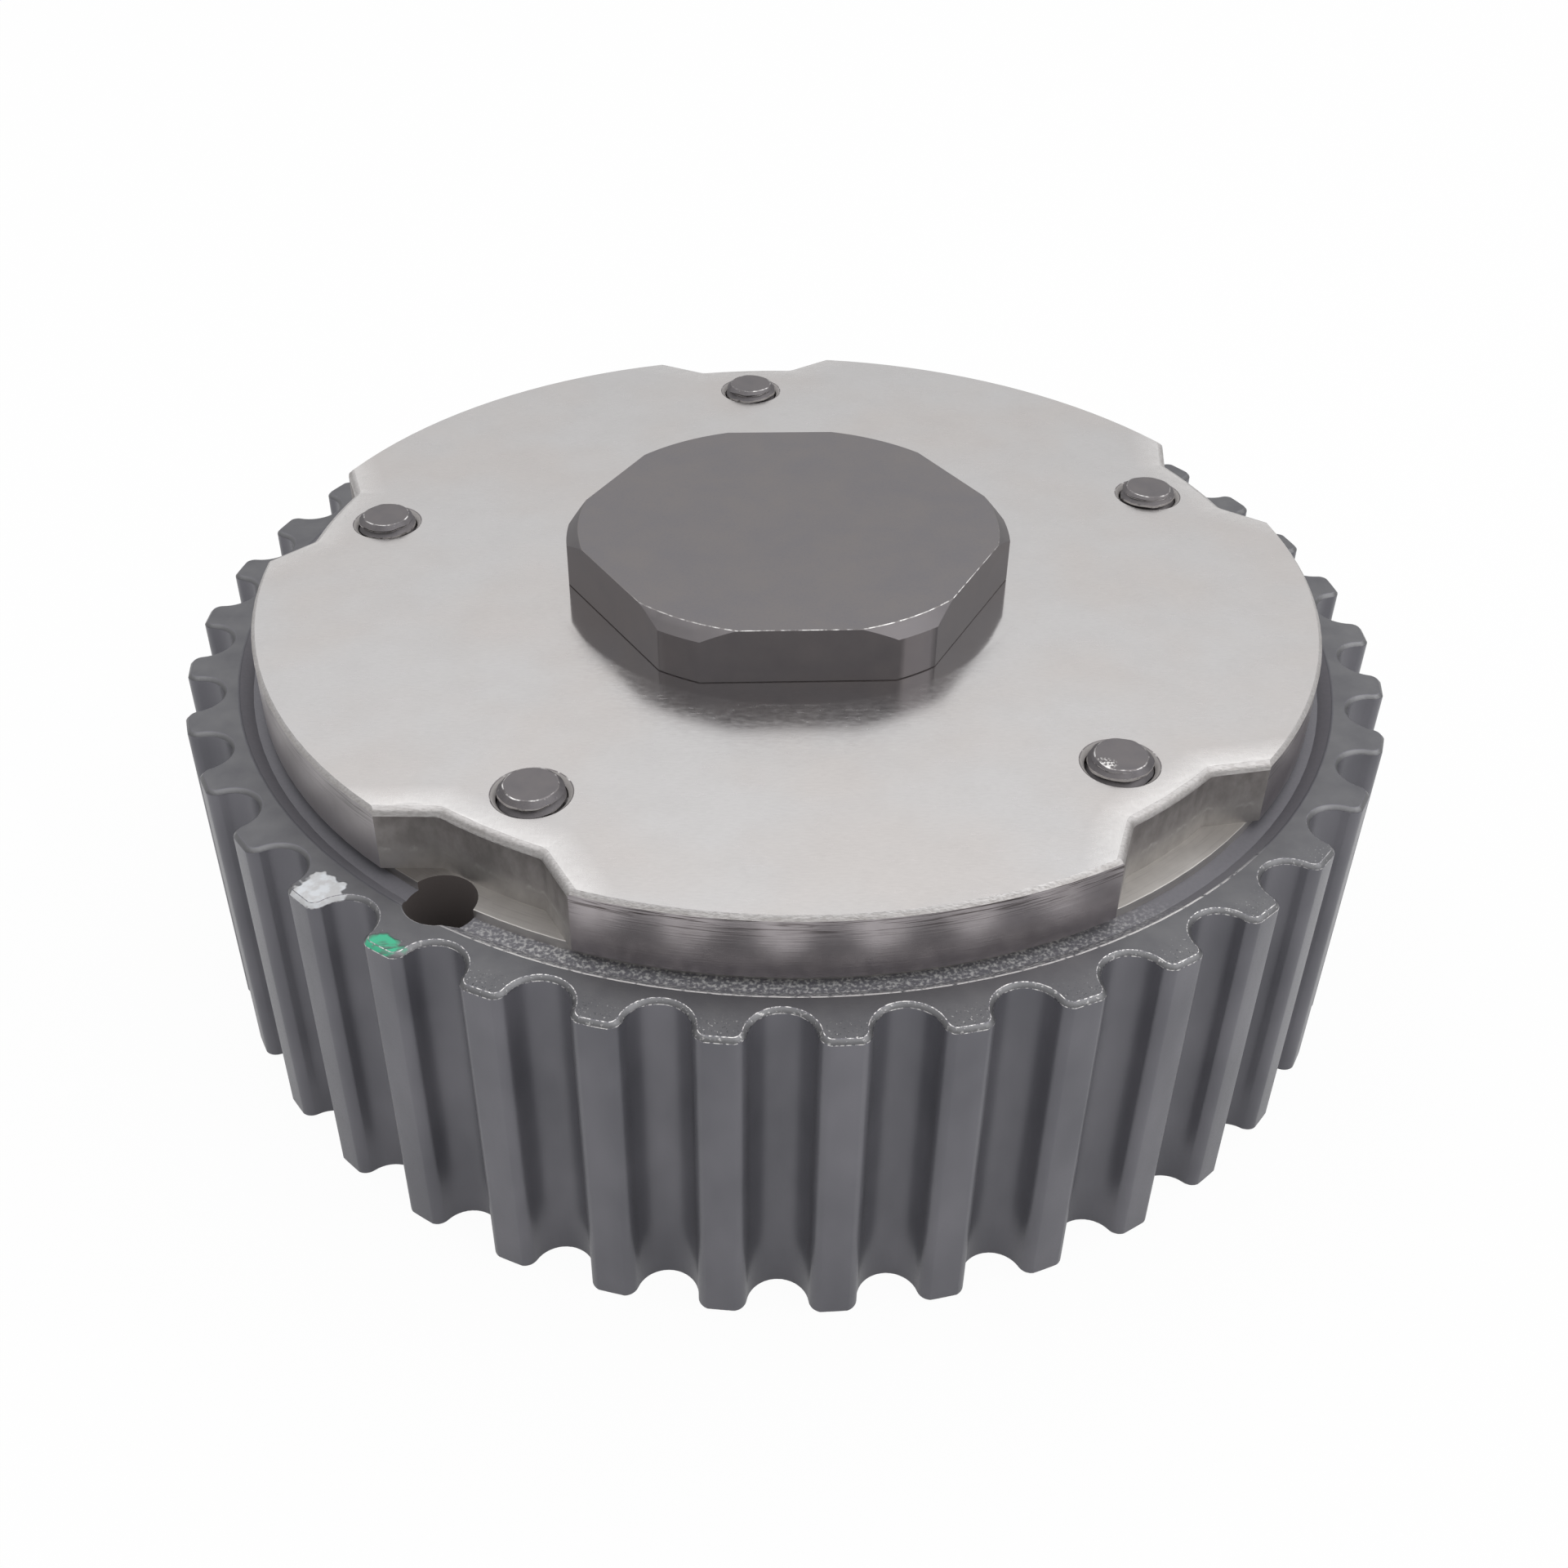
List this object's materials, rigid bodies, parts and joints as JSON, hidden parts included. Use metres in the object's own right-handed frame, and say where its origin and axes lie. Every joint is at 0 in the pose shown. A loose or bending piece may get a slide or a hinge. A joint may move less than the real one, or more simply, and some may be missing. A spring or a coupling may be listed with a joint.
{
  "type": "cam phaser",
  "caption": "Toothed belt pulley with a vane cam phaser inside, a thick scalloped front cover and a hexagon closure plug.",
  "frame": {"origin": "centre of the pulley's rear face", "axes": "+Z along the camshaft's axis, out of the front cover"},
  "size_m": [0.0954, 0.0954, 0.0364],
  "materials": {
    "sintered_steel": "sintered, steam treated, satin",
    "ground_steel": "machined, satin",
    "dark_steel": "phosphated, dark satin",
    "rotor_steel": "machined",
    "spring_steel": "bright drawn",
    "hard_steel": "hardened and ground",
    "seal_rubber": "moulded",
    "seal_plastic": "moulded, filled"
  },
  "bodies": {
    "housing": {"pulley": "sintered_steel", "front_cover": "ground_steel", "rear_cover": "ground_steel", "cover_screws": "dark_steel", "closure_plug": "dark_steel", "plug_seal_ring": "seal_rubber", "front_cover_seal": "seal_rubber", "rear_cover_seal": "seal_rubber", "lock_bushing": "hard_steel", "web_seal_1": "seal_plastic", "web_seal_2": "seal_plastic", "web_seal_3": "seal_plastic", "web_seal_4": "seal_plastic", "web_seal_5": "seal_plastic", "web_seal_spring_1": "spring_steel", "web_seal_spring_2": "spring_steel", "web_seal_spring_3": "spring_steel", "web_seal_spring_4": "spring_steel", "web_seal_spring_5": "spring_steel"},
    "rotor": {"rotor": "rotor_steel", "lock_pin": "hard_steel", "lock_spring_seat": "hard_steel", "cam_dowel": "hard_steel", "lock_pin_spring": "spring_steel", "vane_seal_1": "seal_plastic", "vane_seal_2": "seal_plastic", "vane_seal_3": "seal_plastic", "vane_seal_4": "seal_plastic", "vane_seal_5": "seal_plastic", "vane_seal_spring_1": "spring_steel", "vane_seal_spring_2": "spring_steel", "vane_seal_spring_3": "spring_steel", "vane_seal_spring_4": "spring_steel", "vane_seal_spring_5": "spring_steel"}
  },
  "joints": [
    {"name": "rotor_turn", "type": "hinge", "parent": "housing", "child": "rotor", "pos_m": [0, 0, 0.018], "axis": [0, 0, 1], "range_deg": [0, 25.8]}
  ]
}
